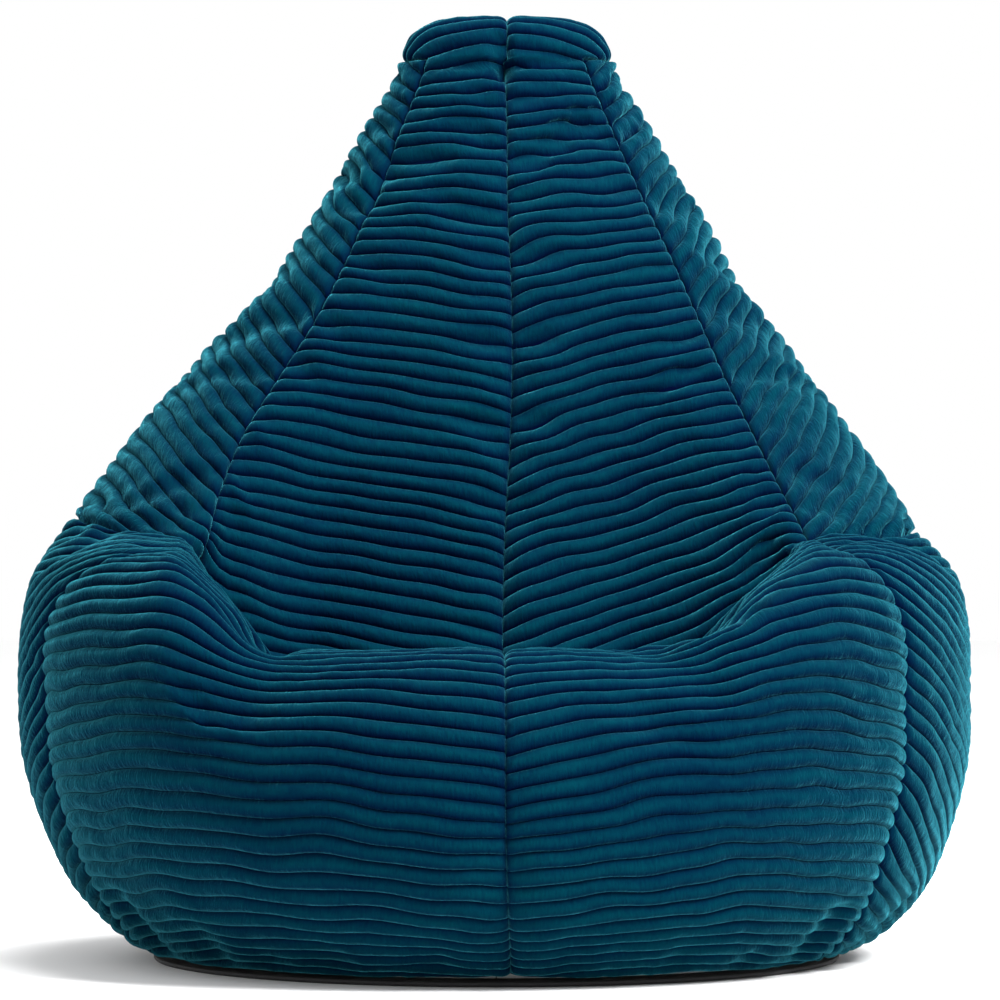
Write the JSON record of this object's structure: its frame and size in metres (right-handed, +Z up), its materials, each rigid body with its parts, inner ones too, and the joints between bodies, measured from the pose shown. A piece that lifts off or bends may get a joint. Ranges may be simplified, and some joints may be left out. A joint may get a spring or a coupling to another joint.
{
  "type": "bean bag chair",
  "caption": "High-backed bean bag chair in wide teal cord, with low arms, a seat pocket, a flat black base, a rear zip and a carry loop.",
  "frame": {"origin": "centre of the bounding box on the floor", "axes": "+X to the right seen from the front, +Y to the rear, +Z up"},
  "size_m": [0.888, 0.9278, 0.91],
  "materials": {
    "cord_cover": "wide-wale cord with a soft cut pile",
    "base_cloth": "coated black woven polyester",
    "liner_cloth": "thin white non-woven",
    "beads": "expanded foam beads",
    "zip_tape": "twill tape",
    "zip_coil": "nylon coil",
    "slider_metal": "painted zinc",
    "liner_zip": "white nylon",
    "slider_white": "painted zinc",
    "handle_patch": "stitched plain cloth",
    "webbing": "ribbed polyester webbing",
    "label_cloth": "satin ribbon, blank"
  },
  "bodies": {
    "bag": {"base_panel": "base_cloth", "seat_panel_left": "cord_cover", "seat_panel_right": "cord_cover", "side_panel_left": "cord_cover", "side_panel_right": "cord_cover", "backrest_panel_left": "cord_cover", "backrest_panel_right": "cord_cover", "wing_panel_left": "cord_cover", "wing_panel_right": "cord_cover", "rear_panel_left": "cord_cover", "rear_panel_right": "cord_cover", "inner_liner_left": "liner_cloth", "inner_liner_right": "liner_cloth", "bead_filling": "beads", "zip_tape_left": "zip_tape", "zip_tape_right": "zip_tape", "zip_coil_left": "zip_coil", "zip_coil_right": "zip_coil", "zip_stop_lower": "zip_coil", "zip_stop_upper": "zip_coil", "liner_zip_half_left": "liner_zip", "liner_zip_half_right": "liner_zip", "handle_patch": "handle_patch"},
    "zip_slider": {"zip_slider": "slider_metal"},
    "liner_zip_slider": {"liner_zip_slider": "slider_white"},
    "carry_loop": {"carry_loop": "webbing"},
    "care_label": {"care_label": "label_cloth"}
  },
  "joints": [
    {"name": "cover_zip_slide", "type": "slide", "parent": "bag", "child": "zip_slider", "axis": [0, -0.1142, 0.9935], "range_m": [0, 0.343]},
    {"name": "liner_zip_slide", "type": "slide", "parent": "bag", "child": "liner_zip_slider", "axis": [0, -0.1142, 0.9935], "range_m": [0, 0.186]},
    {"name": "carry_loop_hinge", "type": "hinge", "parent": "bag", "child": "carry_loop", "pos_m": [0, 0.40726, 0.75269], "axis": [1, 0, 0], "range_deg": [0, 120]},
    {"name": "care_label_hinge", "type": "hinge", "parent": "bag", "child": "care_label", "pos_m": [0.3658, 0.27213, 0.24376], "axis": [0, 0, -1], "range_deg": [0, 90]}
  ]
}
